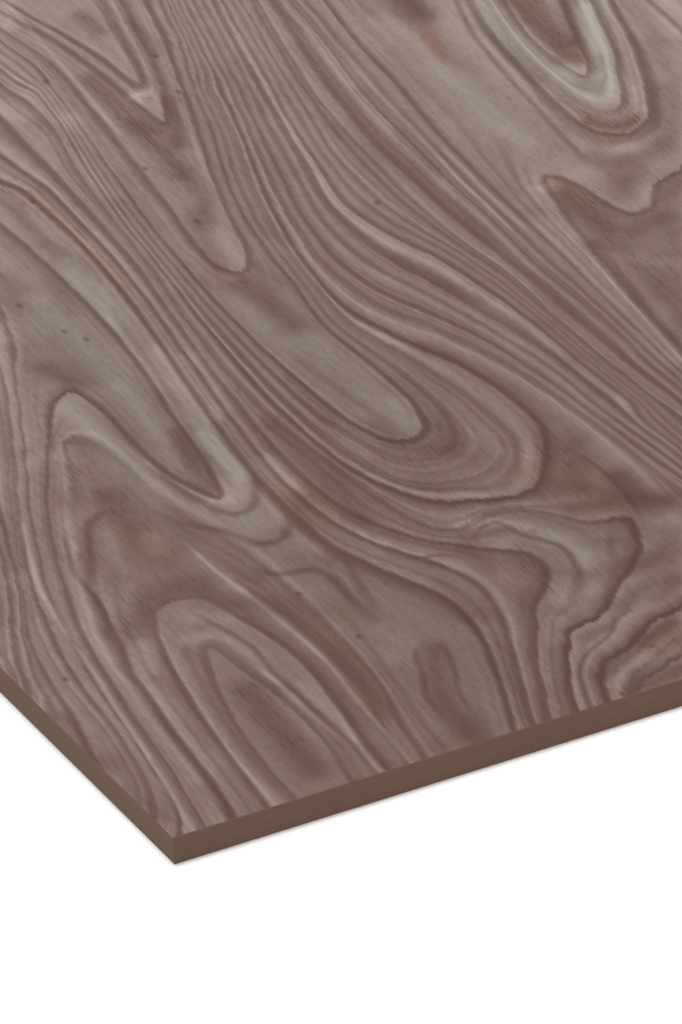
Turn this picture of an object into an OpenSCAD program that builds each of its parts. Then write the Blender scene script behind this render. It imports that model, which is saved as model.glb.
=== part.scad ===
// A flat sheet of wood veneer stock, cut square, lying face up.
// X runs along the grain, Y across it and Z out of the show face.
// The origin is the middle of the back face.

/* [Sheet] */
// Length along the grain
sheet_length = 600; // [200:10:2440]
// Width across the grain
sheet_width = 300; // [100:10:1220]
// Thickness from the back face to the show face
sheet_thickness = 6; // [3:0.5:25]

/* [Edges] */
// Width of the sanded break along the arrises of both faces
face_arris = 0.2; // [0.05:0.05:1]
// Width of the sanded break down the four upright corners
corner_arris = 0.2; // [0.05:0.05:2]

/* [Hidden] */
// How far a section runs past the sheet before it is cut to size
overrun = 1;

// A rectangle centred on the origin, with its four corners cut off at 45 degrees
module broken_rectangle(size, cut) {
    half = size / 2;
    polygon([
        [ half.x - cut, -half.y], [ half.x, -half.y + cut],
        [ half.x,  half.y - cut], [ half.x - cut,  half.y],
        [-half.x + cut,  half.y], [-half.x,  half.y - cut],
        [-half.x, -half.y + cut], [-half.x + cut, -half.y]
    ]);
}

// The sheet's section across the grain, run along its length
module cross_section_run() {
    rotate([90, 0, 90])
        linear_extrude(sheet_length + 2 * overrun, center = true)
            broken_rectangle([sheet_width, sheet_thickness], face_arris);
}

// The sheet's section along the grain, run across its width
module long_section_run() {
    rotate([90, 0, 0])
        linear_extrude(sheet_width + 2 * overrun, center = true)
            broken_rectangle([sheet_length, sheet_thickness], face_arris);
}

// The sheet's plan, run through its thickness
module plan_run() {
    linear_extrude(sheet_thickness + 2 * overrun, center = true)
        broken_rectangle([sheet_length, sheet_width], corner_arris);
}

// The whole sheet: what the two sections and the plan have in common
module veneer_sheet() {
    color("rosybrown")
        translate([0, 0, sheet_thickness / 2])
            intersection() {
                cross_section_run();
                long_section_run();
                plan_run();
            }
}

veneer_sheet();
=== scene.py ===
"""Looks, light and camera for one flat sheet of wood veneer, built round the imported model."""
import math

import bpy
import numpy as np
from mathutils import Matrix, Vector


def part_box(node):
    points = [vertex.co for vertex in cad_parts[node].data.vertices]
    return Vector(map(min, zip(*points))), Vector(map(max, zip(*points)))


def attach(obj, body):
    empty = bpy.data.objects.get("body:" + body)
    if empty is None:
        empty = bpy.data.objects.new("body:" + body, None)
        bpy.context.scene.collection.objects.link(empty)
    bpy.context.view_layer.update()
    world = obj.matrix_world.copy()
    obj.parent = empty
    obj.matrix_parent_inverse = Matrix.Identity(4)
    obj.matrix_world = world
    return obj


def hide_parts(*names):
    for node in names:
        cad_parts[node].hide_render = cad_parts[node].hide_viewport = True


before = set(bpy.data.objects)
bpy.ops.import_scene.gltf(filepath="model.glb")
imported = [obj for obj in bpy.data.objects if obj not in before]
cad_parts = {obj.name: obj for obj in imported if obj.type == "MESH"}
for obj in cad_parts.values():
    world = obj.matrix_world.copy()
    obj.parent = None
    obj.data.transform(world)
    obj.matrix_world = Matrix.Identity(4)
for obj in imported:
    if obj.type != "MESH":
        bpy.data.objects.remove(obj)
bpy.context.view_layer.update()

# Sizes in millimetres. Plan points are (across, along): across the grain and back along it
# from the near corner of the sheet, so along runs towards -X and across towards +Y.
MM = 0.001
LOW, HIGH = (Vector(corner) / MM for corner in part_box("veneer_sheet"))
LENGTH, WIDTH, THICKNESS = HIGH - LOW
ARRIS = 0.2

# Camera, read off the photograph
PHOTO_WIDTH, PHOTO_HEIGHT = 682, 1024
PIXELS_PER_MM = 5.132
NEAR_CORNER_PIXEL = (172.2, 838.4)
CAMERA_AZIMUTH = 66.14
CAMERA_ELEVATION = 29.84
CAMERA_ROLL = 4.69
LENS = 1000.0
SENSOR = 36.0

# The figure is traced off the photograph on a grid with no perspective: pixels for a millimetre of it
TRACE_ACROSS = (4.577, -1.4255)
TRACE_ALONG = (-2.2149, -2.1843)

# Grid of the face
CELL_ACROSS = 1.0
CELL_ALONG = 2.0

# Growth rings: (level, strength, points on the ring). Levels rise outwards from the middle ridge.
RINGS = [
    # middle ridge
    (-1, 0.6, (114.5, 302), (117.5, 290), (119.7, 279), (120.6, 268), (121.7, 263.5), (123.2, 269),
     (125.2, 280), (128.5, 299)),
    (0, 0.7, (111.7, 304), (114.8, 291), (117, 275), (118, 257), (119.3, 249), (122, 255), (126.7, 270),
     (131.5, 292)),
    (1, 0.7, (107.5, 300), (110.2, 282), (109.4, 258), (107.5, 240), (105.7, 220), (103.4, 201),
     (103.2, 194.5), (106.5, 189.5), (111, 195), (113.7, 207), (118.2, 225), (122.6, 240), (128.2, 260),
     (133.6, 280), (135.5, 290)),
    (2, 0.7, (106.9, 280), (104.6, 260), (102.1, 240), (100, 220), (98.3, 200), (97.3, 172), (98.5, 138),
     (100.2, 123.5), (104.5, 113.8), (109.5, 113), (112.6, 121), (113, 140), (111.7, 161), (113.6, 181),
     (115.2, 200), (119, 220), (125.2, 240), (130.3, 260), (136.7, 280)),
    (4, 0.4, (94, 124), (95.5, 112), (99.5, 99), (104, 95), (110, 93.3), (116, 94.7), (120.3, 99.5),
     (121.3, 112), (119, 140), (115.5, 160), (116.9, 180), (119, 200), (123.2, 220), (128.5, 240),
     (132, 258)),
    (5, 0.9, (141.3, 290), (139.4, 280), (135.2, 260), (130.6, 240), (125.4, 220), (120.6, 200), (118, 180),
     (118.3, 163), (121.5, 150), (127.5, 134), (130.6, 115), (130.3, 102), (125.5, 91), (119, 83),
     (115, 81.8), (110.5, 83), (101, 88), (95.5, 97), (91.8, 109), (90, 135), (91.2, 165), (94.2, 200),
     (95.7, 220), (98.3, 240), (101.7, 260), (103.5, 275)),
    (1.55, 0.6, (101, 200), (101.3, 185), (104.5, 165), (106.5, 140), (108.5, 165), (112.5, 185),
     (114.5, 203)),
    # right flank
    (6, 0.5, (141.3, 280), (137.2, 260), (132.5, 240), (127.7, 220), (123.9, 200), (122, 180), (124.5, 161),
     (129.8, 148), (134.3, 133), (137.2, 120), (139.7, 100), (141.4, 80), (142, 72)),
    (7, 0.9, (146.5, 298), (142.7, 280), (138.4, 260), (134.3, 240), (129.8, 220), (126, 200), (124.6, 182),
     (126, 170), (131.5, 154), (135.8, 140), (139.3, 120), (141.6, 100), (143.8, 80), (145, 72)),
    (8, 0.5, (144.6, 280), (140.9, 260), (136.3, 240), (132.8, 220), (129, 200), (129.2, 180), (134, 161),
     (139, 140), (142.3, 120), (143.8, 100)),
    (9, 0.9, (149.8, 295), (146.3, 280), (142.2, 260), (138.9, 240), (135.2, 220), (132, 200), (133.3, 181),
     (137.6, 161), (142.1, 140), (144.6, 120), (146.2, 100), (148.4, 80)),
    (10, 0.7, (151.5, 296), (148.2, 280), (145.1, 260), (141, 240), (138.2, 220), (136.1, 200), (138, 188),
     (142.6, 172), (144.6, 160), (147.2, 140), (148.4, 120), (150.3, 100)),
    (11, 0.5, (150, 280), (146.3, 260), (142.8, 240), (140, 220), (138.8, 200), (140.6, 189), (143.6, 178),
     (146.6, 161), (148.6, 140)),
    (12, 0.4, (151.7, 280), (148.2, 260), (145.3, 240), (142, 220), (141.7, 200), (144.2, 182)),
    (13, 0.7, (153.6, 280), (150.3, 260), (147.3, 240), (145.8, 220), (145.3, 200), (146.9, 180),
     (149.8, 160), (150.8, 140), (152, 120), (153.5, 100)),
    (14, 0.7, (157.4, 280), (154.6, 260), (152.2, 240), (150.9, 220), (151.2, 200), (152, 180),
     (153.7, 160), (154.7, 140), (155.7, 120), (157.8, 100)),
    (15, 0.6, (160.6, 270), (159.3, 255), (157.7, 240), (157.2, 220), (156.8, 200), (157.5, 180),
     (157.3, 160), (158.7, 140), (159.5, 120)),
    (16, 0.4, (162.4, 262), (161.4, 240), (160.6, 220), (160, 200), (159.8, 180), (160.2, 160),
     (160.8, 140)),
    (17, 0.9, (166.5, 275), (164.9, 260), (164.2, 240), (162.8, 220), (162.3, 200), (162.7, 170),
     (162.7, 140), (162.6, 122), (163, 108)),
    (18, 0.3, (169.4, 270), (168.7, 240), (168.1, 220), (166.7, 200), (165.2, 180), (165.4, 160),
     (165.1, 140), (164.8, 122)),
    (19, 0.7, (166.6, 125), (168.3, 150), (170.4, 176), (173.6, 190.5), (177, 183.5), (179.6, 171),
     (182, 166.3), (187, 169), (190.5, 175), (197, 177.5)),
    # top right ridge
    (18, 0.7, (191, 260), (188.8, 246), (188, 228), (187.7, 212), (188.8, 201), (191.5, 196.8),
     (195, 195.6), (199, 197.5), (204, 207), (208.6, 220), (213.5, 243)),
    (17, 0.2, (193, 258), (191, 240), (191, 220), (193.2, 208), (196, 204.5)),
    (17, 0.8, (198, 205), (199.5, 208), (203, 218), (206.5, 227), (208.5, 236), (210.5, 245)),
    (16, 0.7, (195.6, 255), (193.8, 238), (195, 226), (197, 219.3), (199.3, 224), (203, 239), (205.8, 249)),
    # left flank of the middle ridge
    (6, 0.5, (98.6, 280), (99.4, 262), (96, 240), (94.3, 220), (92.6, 200), (89.8, 180), (88, 160),
     (87.4, 140), (89, 120), (91.2, 98), (94, 84), (97.5, 77.2), (104, 77.8), (110.5, 79), (116, 73.5),
     (121, 66)),
    (7, 0.8, (92.6, 262), (91.8, 232), (89.9, 200), (87.7, 180), (85.4, 160), (83.6, 140), (82.4, 115),
     (83, 103), (86.5, 87.5), (92.5, 76), (98, 70), (102, 65.5), (106, 62), (108, 56.5), (106.6, 51),
     (103, 45.8), (98.8, 41.6), (96.8, 36), (93.5, 30), (89.5, 21), (86, 11), (82.5, 1)),
    (9, 0.8, (84.3, 242), (84.9, 220), (84.2, 200), (82.2, 180), (79.8, 160), (77.5, 140), (75.4, 120),
     (74.8, 100), (75.7, 86), (78.4, 75), (82, 64.5), (85.4, 55), (86, 42), (83.8, 30), (79.8, 16),
     (75, 1)),
    (10, 0.9, (74.5, 235), (75.5, 212), (75.5, 190), (74, 168), (71.5, 150), (69.6, 135), (67.5, 120),
     (65.2, 113), (62.6, 120), (60.8, 129), (60.2, 145), (60.4, 160), (58.6, 167), (54, 164.5), (48, 154),
     (41, 141), (34.5, 128), (28, 111), (24.5, 100), (21.5, 90), (19, 80), (17, 70), (15.6, 60), (14, 50),
     (12.8, 40), (11.8, 30), (10.4, 20), (8.8, 10), (7.4, 2)),
    (10.8, 0.7, (65.6, 128), (66.8, 150), (68.2, 175), (69, 200), (69, 230)),
    (9.75, 0.7, (66.5, 104), (66.2, 80), (65.2, 50), (62.5, 20), (61, 1)),
    (11, 0.4, (52.5, 180), (44.3, 160), (35.7, 140), (28, 120), (22, 102), (18.4, 87), (15, 71), (12.8, 58),
     (11.3, 46), (9.6, 34), (7.8, 22), (5.6, 8)),
    (12, 0.8, (50, 180), (42.2, 160), (33.6, 140), (25.3, 120), (18.6, 102), (14.8, 86), (12.4, 76),
     (10.6, 65), (9.6, 55), (8.6, 44), (6.6, 31), (4.8, 21), (2, 13.5), (0.4, 9)),
    (13, 0.7, (21.8, 120), (15.7, 100), (10, 86), (7.6, 76), (5.6, 65), (4.2, 56), (2.6, 48), (1.2, 41)),
    (14, 0.6, (20.3, 119), (13.2, 100), (5.4, 82), (2.4, 73), (0.6, 66)),
    (15, 0.5, (17.5, 117), (10.5, 100), (2.7, 80), (0, 70)),
    # lower left ridge
    (9, 0.8, (13.6, 1), (15, 8), (16.2, 18), (17, 26), (17.8, 34), (18.7, 42), (20.3, 52), (21, 60),
     (22.2, 66), (24, 72), (25.3, 80), (27, 86), (28.3, 92)),
    (9, 0.15, (28.3, 92), (30.6, 98), (34, 107), (37.4, 115), (42, 125), (46, 139), (49.6, 149),
     (52.6, 142), (51.7, 120), (54.5, 105), (58.3, 87), (59.4, 72), (60.8, 48), (59.8, 30), (57.2, 15),
     (55.8, 2)),
    (8, 0.8, (21.3, 2), (22.4, 16), (24.6, 35), (27, 51), (30, 66)),
    (8, 0.4, (30, 66), (33.5, 77), (36.5, 82.3), (40, 83), (44.5, 81.5), (47.8, 72)),
    (8, 0.8, (47.8, 72), (50.7, 58), (51.5, 47), (50.4, 30), (48.4, 14), (47.6, 2)),
    (7, 0.5, (26.8, 2), (27.4, 15), (29.2, 30), (31.7, 44), (34.7, 55), (38, 63), (40.3, 51), (42, 36),
     (41.7, 15), (39.6, 2)),
    # curls at the near right
    (6, 1.15, (130, 63), (128.6, 57), (126.3, 50), (122.5, 45), (118, 41), (114, 37.3), (111, 33),
     (107, 30.8), (102, 29.8), (98.5, 25), (94.5, 17), (91, 9), (88.5, 1)),
    (5, 1.15, (126, 26), (122, 25), (117, 24), (110.5, 19), (106, 16), (101.5, 14.5), (98.5, 10),
     (95.4, 1)),
    (4, 0.8, (116, 9), (112, 7), (107, 5.5), (103.5, 3), (101.5, 1)),
]
PLAIN_STRENGTHS = (0.4, 0.55, 0.7)


def plain_rings(level, across, pitch, start, count):
    """Straight rings from start along the grain, each a pitch further out than the one before."""
    return [(level + k, PLAIN_STRENGTHS[k % 3], across + k * pitch, start) for k in range(1, count + 1)]


# Beyond the photograph's right and left borders
PLAIN_RINGS = plain_rings(level=18, across=221, pitch=9, start=0, count=9)
PLAIN_RINGS += plain_rings(level=15, across=34, pitch=-9, start=190, count=3)

# Loose lines. A style is (darkness, fade to each side); pale ones are below zero.
LINE_STYLES = {
    "dark": (0.36, 1.2),
    "broad": (0.36, 1.9),
    "soft": (0.20, 1.8),
    "pale": (-0.20, 1.0),
    "thread": (-0.32, 1.0),
}

LINES = {
    "broad": [
        # basin tips
        [(58.6, 134), (60.2, 120), (61.6, 112.5), (63, 108.6), (65.5, 105.6), (68, 106), (71, 109),
         (73.4, 114), (74.8, 122)],
        [(53.8, 113), (57, 105.5), (59.5, 102.5), (61.2, 99.5), (62.3, 96.3), (64, 93.2), (66.5, 91.9),
         (69.5, 92.8), (71.8, 96.2), (73.8, 102)],
        [(58.6, 87), (61, 81.8), (63, 80), (66.5, 79.2), (69.2, 77.5), (70.6, 73), (70.2, 67), (69.8, 58)],
        [(76.3, 81), (75, 75), (73.7, 68), (72.8, 56)],
        # inner arch of the lower left ridge
        [(29, 96), (31.6, 101), (34.3, 107), (37.2, 114.2), (40, 119), (44, 121), (47.5, 118.5)],
    ],
    "dark": [
        # lower left ridge
        [(41, 79), (43.5, 68), (45.4, 59), (44.8, 46), (45.2, 30), (45.8, 15), (44.8, 3)],
        [(53.7, 86), (56, 70), (57.1, 52), (56.7, 30)],
        [(34.7, 121), (28.2, 101), (27.5, 90), (24.6, 78)],
        # curls
        [(117, 30), (111, 28.3), (107.5, 24), (101, 20), (96.3, 15), (93, 6)],
        [(83.5, 73.5), (88, 71), (93, 69), (96, 64)],
        [(99.5, 69.5), (103, 74.3), (106.5, 75.2), (109, 68), (113.7, 59), (113, 51), (110.4, 43)],
        [(107, 13), (104, 10), (100.5, 9)],
        [(76, 42), (71.6, 38), (70, 33), (68.5, 28), (66.4, 23), (65.6, 17), (65, 9)],
        [(74.6, 42), (77.2, 37), (76.4, 33), (75, 27), (73, 22), (71.6, 16), (70.8, 9)],
        [(132, 92), (133.4, 80), (133.3, 70), (131.6, 58)],
        [(188, 259), (186, 251), (184.8, 242), (183.8, 225), (183.2, 205), (182.6, 188)],
    ],
    "soft": [
        [(101, 160), (103.2, 140), (105.7, 120)],
        [(126.5, 66), (124.5, 59), (121.5, 53), (119, 45)],
    ],
    "pale": [
        # threads of the tip in the middle
        [(112.5, 309), (115, 297), (117.3, 284), (118.6, 270), (119, 255)],
        [(119.2, 252), (121.5, 258.5), (125, 270), (130, 294)],
        [(112.2, 288), (111, 266), (109.4, 248)],
        [(126.5, 260), (121.4, 242), (116.2, 220), (112, 203)],
        # top right ridge
        [(212.6, 245), (211, 238), (209.5, 232), (206, 220), (204, 214), (201.5, 207), (198, 200.6)],
        # right flank
        [(167.4, 160), (166.2, 140), (165.4, 122)],
        [(158.8, 212), (158.6, 190), (158.9, 172)],
        [(161.4, 214), (161.1, 190), (161.3, 168)],
    ],
    "thread": [
        # lower left
        [(29.5, 130), (24, 114), (19.8, 100), (16.7, 80), (14.1, 61), (11.7, 45), (9.6, 30), (7.2, 15),
         (5, 2)],
        [(52, 104), (52.5, 88), (53.7, 75), (55.1, 55), (55.2, 43), (54, 27), (52.5, 3)],
        [(42.4, 54), (43.8, 42), (44.2, 28), (44.4, 12)],
        [(59.4, 140), (59.6, 128), (61.7, 118), (64.5, 111)],
    ],
}

# Broad zones: (how much browner in hundredths, half width, points of the middle line)
ZONES = [
    # middle ridge
    (40, 2.4, (114, 273), (113.8, 230)), (38, 2.2, (124, 257), (120, 245), (118, 240)),
    (26, 2.8, (115, 252), (118, 243)), (12, 3, (113, 216), (116.5, 240)),
    (-50, 1.6, (118.8, 262), (121, 263)), (36, 2, (123.2, 296), (123.8, 289)),
    (16, 2, (131, 290), (130, 276)), (22, 3, (110, 214), (105, 197), (104, 193)),
    (22, 2.6, (113, 230), (112, 218), (108, 211)), (-16, 2.4, (109, 205), (107.4, 190)),
    (-24, 4, (104, 298), (103, 262)), (-16, 2.2, (104.4, 262), (104, 240)),
    (-18, 3, (98, 256), (98.4, 232)), (-26, 3, (94, 276), (96.4, 268)),
    (-32, 2.4, (109.8, 301), (112, 309)), (-8, 5, (136, 288), (134, 268)),
    (28, 2.6, (104, 122), (105.6, 109), (112, 107), (114.5, 116)), (-14, 2, (108, 117), (110.6, 128)),
    (20, 1.6, (96.6, 148), (96.9, 128)), (-14, 2, (95, 120), (97, 112)),
    (26, 3, (123.5, 143), (127.5, 118), (127, 98), (121, 90), (110, 82)),
    (45, 3.2, (105.4, 185), (106.4, 175), (106.8, 165)), (18, 2.4, (111, 190), (110, 181)),
    (16, 3, (100, 190), (103, 186)), (10, 3, (116, 208), (119, 198)),
    # right flank
    (-10, 1.6, (149.2, 280), (140.2, 240), (134.3, 200), (137.5, 180), (142.2, 160), (147, 126)),
    (-12, 2.4, (131, 173), (135, 157)), (30, 2.2, (136.2, 178), (142, 154)),
    (-14, 5, (166, 277), (165.6, 256)), (-10, 2.4, (161.4, 248), (161, 230)),
    (-10, 4, (153, 281), (158, 245)), (-16, 2.4, (173, 245), (173, 210)),
    (22, 2, (156, 221), (156, 204)), (16, 2.2, (148, 229), (150, 196), (153, 172)),
    (12, 2.5, (154, 262), (152, 230), (152.5, 205), (154.5, 178)),
    (-10, 6, (146, 290), (143, 268)), (-11, 5, (139.4, 238), (137, 205)),
    (12, 2.4, (148, 138), (147, 122)), (-14, 4, (138, 90), (145, 72)),
    (-16, 3, (147, 104), (147, 80)),
    (-18, 4.2, (139, 152), (141, 125), (140, 95)), (-6, 8, (140, 135), (160, 120)),
    (-24, 3.2, (165, 174), (164.4, 150), (164, 112)), (-8, 6, (118, 155), (120, 140), (120, 96)),
    # top right ridge
    (46, 2.2, (197.6, 256), (197.2, 240), (197, 229)), (36, 2.6, (200.8, 254), (199.6, 234)),
    (36, 1.7, (205.6, 249), (203.6, 241), (200.6, 232), (198.8, 226)),
    (-26, 2.4, (194.4, 224), (198.6, 219)),
    (-38, 2.8, (192.3, 258), (192, 240), (192.3, 225), (193.5, 214), (196.5, 209.5), (199.5, 213),
     (202, 222), (204.8, 233), (207.8, 244)),
    (-22, 1.8, (203.8, 228), (207.8, 240), (210.4, 248)), (-20, 1.8, (200, 203), (202.6, 211)),
    (-14, 2, (192, 210), (195, 205)), (40, 2.2, (189.6, 204), (191.6, 200.4), (195, 198.4), (198, 200)),
    (28, 3, (207.4, 208), (205, 202), (199, 189)), (24, 2.6, (198, 186), (189, 186)),
    (14, 2.4, (193, 196), (197, 190)), (-20, 2, (188, 191), (195, 192)),
    (14, 2.4, (212, 228), (211, 216)), (26, 2.2, (217.4, 241), (216, 224)),
    (-10, 2.6, (214.6, 244), (213, 228)), (-40, 3.4, (222, 262), (220, 226)),
    # right valley
    (26, 4, (186, 191), (184.5, 176)), (20, 2.4, (184.6, 178), (190, 182)),
    (46, 3, (179, 161), (182, 162), (187, 163)), (-24, 2.4, (187.6, 174), (186.6, 168)),
    (22, 2.6, (188, 168), (196, 174)), (18, 2.2, (186, 160), (183, 148)),
    (-12, 2.4, (180.6, 187), (183, 185)), (54, 3.2, (173.2, 182), (174, 176), (175.4, 165)),
    (26, 3, (170.8, 175), (171.6, 160)), (18, 2.6, (174, 157), (186, 156)),
    (20, 3.2, (174, 160), (172, 136)), (36, 5, (178, 150), (175, 136), (171, 120)),
    (-22, 2.2, (176, 151), (178, 147)), (-10, 2, (177.2, 187), (178.2, 180)),
    (-34, 2, (171.2, 186), (170.6, 178), (169.6, 165)), (-10, 3, (172, 189), (166, 183)),
    (16, 2.8, (178, 238), (178.6, 222), (181, 199)), (-12, 4, (174.6, 240), (176, 222), (176, 205)),
    (-18, 2.6, (172.4, 262), (174, 249)), (-10, 5, (186, 255), (184, 228)),
    (16, 2, (187.4, 254), (188, 224)), (50, 3.4, (179.4, 272), (179, 260)),
    (24, 2, (178.4, 255), (177, 246), (176.6, 241)), (28, 2.4, (181.4, 268), (181, 258)),
    # left flank and basin
    (34, 2.6, (86, 134), (85.5, 116), (86, 90)), (18, 2.6, (81, 242), (78, 222), (78, 211)),
    (16, 1.8, (79, 221), (82, 213), (82, 202)), (22, 2.8, (66, 214), (67.6, 207)),
    (14, 2.6, (74, 206), (72, 194)), (18, 2.6, (62, 210), (64, 200)),
    (-34, 4, (54, 196), (48, 172), (42.6, 154)), (-22, 2.4, (60.4, 207), (57, 192)),
    (-26, 3.2, (39, 146), (47, 146), (48.4, 132)), (22, 2.6, (50.6, 147), (48.6, 138), (47, 126)),
    (-32, 2.6, (79.4, 121), (79.6, 109)), (-16, 5, (66, 118), (66, 100)),
    (-22, 2.2, (62, 112.4), (68, 112), (69.6, 117)), (40, 2, (69, 141), (66.6, 129), (65, 118)),
    (-14, 2, (62.6, 136), (62.6, 129)), (-12, 2.6, (67.4, 164), (67, 140)),
    (12, 3, (64.6, 186), (64.4, 168)), (42, 2.8, (58.4, 177), (60.4, 169)),
    (-10, 3, (73, 176), (74, 160)), (-10, 3, (86, 190), (85, 152)),
    (-18, 2.4, (84.4, 166), (81, 144)),
    (-28, 2, (80.5, 172), (78.6, 154), (78, 142)), (-22, 1.6, (73, 138), (72, 118)),
    (-20, 2.2, (54.8, 162), (55.2, 146), (54.4, 128), (54, 118)), (20, 2.2, (39.6, 133), (39, 127)),
    (-22, 1.8, (41, 126), (36.6, 119), (33, 111)), (-20, 1.6, (41.4, 114), (38.8, 107), (37, 98)),
    (-10, 2, (95, 150), (94.6, 132)), (-20, 1.6, (79.4, 212), (79, 194), (77.2, 185)),
    (-14, 2.4, (82, 85), (83, 78)), (-12, 2, (85, 256), (87, 244)),
    (18, 2.8, (77.6, 104), (74.4, 95), (74, 80)), (-14, 2.4, (88, 217), (87.6, 194)),
    # lower left ridge
    (32, 5, (28, 78), (35, 85), (46, 86), (50, 74)), (-30, 2.2, (27.4, 71), (24.6, 61)),
    (-14, 2.6, (28, 82), (35, 93)), (-20, 3, (41, 75), (46, 71)),
    (-28, 1.8, (44.5, 44), (44, 57), (40.4, 67), (36, 67)), (-32, 2.6, (47, 107), (46, 102)),
    (16, 3.6, (46.5, 124), (45, 112), (45, 98)), (-20, 2.2, (52, 96), (53, 80)),
    (10, 2, (53, 110), (54.6, 102)), (-18, 3, (51, 81), (57, 76)),
    (20, 3, (28, 140), (19.6, 112)), (26, 2.4, (14.6, 14), (14, 1)),
    (28, 3.2, (2.2, 54), (1.4, 32)), (30, 3.2, (0.6, 34), (1.6, 8)),
    (16, 2, (58.8, 48), (58, 22)), (-10, 2, (56, 54), (56, 38)),
    (-14, 2.8, (43, 36), (41, 2)), (-22, 3, (5, 90), (2.6, 80)),
    (12, 3, (38, 130), (33, 108)), (40, 3.4, (37.4, 44), (36.6, 34), (35.2, 8)),
    (10, 2.4, (50, 66), (50, 20)), (16, 2, (25.4, 72), (24, 50), (22, 28)),
    (-12, 1.8, (11, 62), (9.6, 30)), (-12, 2.4, (20, 84), (20, 58)),
    (-20, 3, (24, 0), (22.6, 25), (22, 54)), (-20, 1.4, (47.4, 40), (46.8, 14)),
    # near middle
    # The two widest zones are painted light and shade: browner about the near corner, paler at the far end
    (12, 60, (60, 0), (100, 40)), (-6, 90, (100, 330), (230, 260)),
    (-20, 15, (0, 0), (12, 70), (32, 140)), (16, 3, (68, 84), (68, 78)),
    (16, 3, (66, 34), (66, 4)), (12, 4, (56, 68), (70, 58)),
    (14, 2.4, (57.5, 82), (58.5, 52)), (44, 2.7, (75, 37.5), (70.6, 25), (68.2, 15), (67.4, 0)),
    (-14, 2.6, (90.4, 40), (88, 14)), (14, 3, (66, 93), (72, 95)),
    (34, 3, (74, 80), (77.5, 68), (82.4, 56), (85.4, 46)), (24, 1.4, (69.8, 74), (70.4, 54)),
    (16, 2.2, (88, 60), (88, 42)), (14, 4, (57, 45), (56, 20)),
    (10, 2.6, (84, 42), (81, 22)), (16, 4, (62, 3), (70, 8)),
    (-16, 2.2, (91, 64), (94, 48)),
    # curls
    (44, 2.8, (127, 77), (134, 67)), (42, 2.6, (122, 72), (128, 69)),
    (-12, 2.2, (118, 71), (123, 76)), (60, 2.9, (135, 78), (136, 67), (138.6, 64)),
    (16, 2.6, (135, 64), (132.4, 50)), (24, 2.8, (130.4, 64), (129, 57)),
    (-22, 2, (134, 57.5), (137, 57)), (40, 4.6, (121, 79), (128, 84), (132, 94)),
    (-12, 3, (115, 87), (124, 95)), (30, 2.6, (96.8, 69), (98, 60)),
    (12, 2.2, (96.4, 57), (96.6, 48)), (12, 2.4, (98, 48), (100, 40)),
    (-40, 1.8, (101, 78), (107, 75), (111, 70)), (22, 2.6, (100, 72), (106, 71.4)),
    (-18, 2.4, (103, 70), (105, 67)), (14, 3, (94, 95), (99, 86)),
    (16, 4, (103, 98), (103, 84)), (18, 4.2, (109, 112), (114, 100)),
    (12, 3, (115, 135), (116, 118)), (12, 3, (90.4, 120), (90, 104)),
    (20, 4, (111, 47), (119, 47), (130, 43)), (-24, 2.4, (104, 41), (107.6, 47)),
    (14, 2.6, (102, 46), (104, 46)), (-28, 2.4, (113, 66), (116, 57), (114.6, 50)),
    (-20, 2.2, (113, 43), (111.6, 40)), (30, 2.8, (122, 44), (130, 47)),
    (20, 2.6, (118, 58), (127, 53)), (26, 2.6, (104.6, 60), (105.6, 51)),
    (30, 3, (114, 32), (120, 35), (127, 37)), (30, 2.4, (122, 31), (127, 35)),
    (20, 2, (102, 25), (108, 26.6)), (-20, 2, (97, 27), (101, 33)),
    (46, 2, (99.5, 10.4), (106, 13.6), (112, 17), (119, 20.4)), (36, 2.4, (113, 18), (119, 21)),
    (-8, 1.8, (104, 10.4), (107, 10)), (48, 2.4, (105, 1.4), (113, 4)),
    (-28, 1.6, (110, 9), (115, 11.4)),
]

# Zones whose pale wood is greyish green and not pink: (share in hundredths, half width, points)
GREY_ZONES = [
    (100, 7, (104, 168), (106, 140), (107.5, 118)), (100, 5.5, (67.5, 195), (66.5, 150), (66, 128)),
    (90, 5, (66, 104), (66, 85), (66, 40)), (80, 3, (80, 60), (80.5, 38)),
    (90, 2.2, (79, 216), (78, 174)), (80, 3, (57, 164), (55, 130)),
    (80, 2.5, (74.5, 142), (72, 116)), (90, 5, (110, 82), (114, 66), (112, 48), (104, 37)),
    (80, 6, (78, 66), (80, 40), (74, 8)),
    (90, 3.4, (191, 256), (192, 222), (196, 212), (201, 219), (209, 244)), (70, 4, (130, 54), (136, 57)),
    (30, 6, (174, 242), (176, 205)), (50, 6, (60, 205), (52, 182), (44, 160)),
    (70, 4, (103, 11), (109, 9)), (60, 4, (42, 74), (45, 40)),
]

# Zones with a reddish tint, in the same form
RED_ZONES = [
    (35, 3.6, (77, 96), (78, 107)), (80, 1.8, (177.8, 252), (176.5, 241)),
    (30, 2.2, (200, 251), (201, 246)), (25, 2, (198, 232), (198, 225)),
    (30, 2.2, (189, 207), (191.5, 199), (196, 198)), (15, 2.6, (174, 188), (174, 177)),
    (25, 3, (44.4, 112), (44.4, 101)), (30, 2.4, (112, 14), (118, 17)),
    (22, 5.5, (124, 88), (129, 76), (134, 66)), (40, 1.6, (84.2, 195), (84.6, 240)),
    (20, 2.6, (59.8, 58), (58.6, 40), (56.6, 22)),
]

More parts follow.
